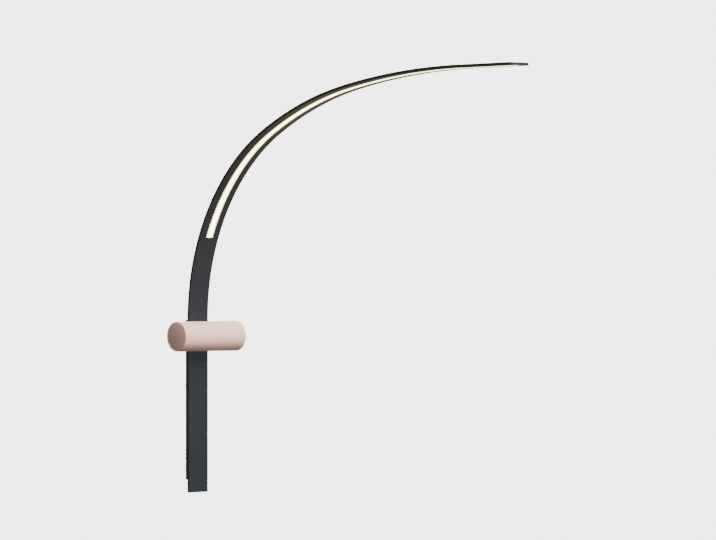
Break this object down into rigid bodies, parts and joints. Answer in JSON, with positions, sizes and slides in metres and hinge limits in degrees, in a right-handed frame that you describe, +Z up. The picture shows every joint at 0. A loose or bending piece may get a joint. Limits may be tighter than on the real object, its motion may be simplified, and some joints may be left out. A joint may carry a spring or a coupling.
{
  "type": "wall lamp",
  "caption": "Wall lamp: a flat blade rises from a wall rail and curves forward, with a light line along its inner face and a round driver housing across the stem.",
  "frame": {"origin": "middle of the wall rail's back face, on the wall", "axes": "+Z up, +Y into the wall, -Y into the room along the arm, X along the wall and the round housing"},
  "size_m": [0.128, 0.7405, 0.6679],
  "materials": {
    "rail_paint": "fine-textured powder coat",
    "blade_paint": "fine-textured powder coat, anthracite",
    "housing_paint": "matt paint, blush",
    "opal_diffuser": "opal, satin",
    "tape_white": "solder mask",
    "chip_phosphor": "silicone over phosphor",
    "zinc_steel": "zinc plated",
    "bush_rubber": "moulded",
    "grommet_rubber": "moulded",
    "ring_rubber": "moulded",
    "driver_plastic": "moulded",
    "board_green": "solder mask",
    "transformer_tape": "polyester tape",
    "capacitor_sleeve": "shrink sleeve",
    "terminal_plastic": "moulded",
    "tinned_brass": "bright",
    "lead_red": "extruded PVC",
    "lead_black": "extruded PVC",
    "lead_brown": "extruded PVC",
    "lead_blue": "extruded PVC",
    "lead_green": "extruded PVC"
  },
  "bodies": {
    "rail": {"wall_rail": "rail_paint", "rail_bush": "bush_rubber"},
    "arm": {"blade": "blade_paint", "tip_cap": "blade_paint", "diffuser": "opal_diffuser", "light_tape": "tape_white", "light_chips": "chip_phosphor", "channel_cover": "blade_paint", "feed_lead_plus": "lead_red", "feed_lead_minus": "lead_black", "hanging_studs": "zinc_steel", "supply_grommet": "grommet_rubber", "housing_shell": "housing_paint", "cap_left": "housing_paint", "cap_right": "housing_paint", "cap_rings": "ring_rubber", "chassis": "zinc_steel", "chassis_screws": "zinc_steel", "shell_screws": "zinc_steel", "driver_case": "driver_plastic", "driver_lid": "driver_plastic", "driver_board": "board_green", "driver_transformer": "transformer_tape", "driver_capacitors": "capacitor_sleeve", "driver_screws": "zinc_steel", "terminal_block": "terminal_plastic", "terminal_screw": "zinc_steel", "live_lead": "lead_brown", "neutral_lead": "lead_blue", "earth_lead": "lead_green", "earth_lug": "tinned_brass", "earth_screw": "zinc_steel"}
  },
  "joints": [
    {"name": "arm_lift", "type": "slide", "parent": "rail", "child": "arm", "axis": [0, 0, 1], "range_m": [0, 0.012]}
  ]
}
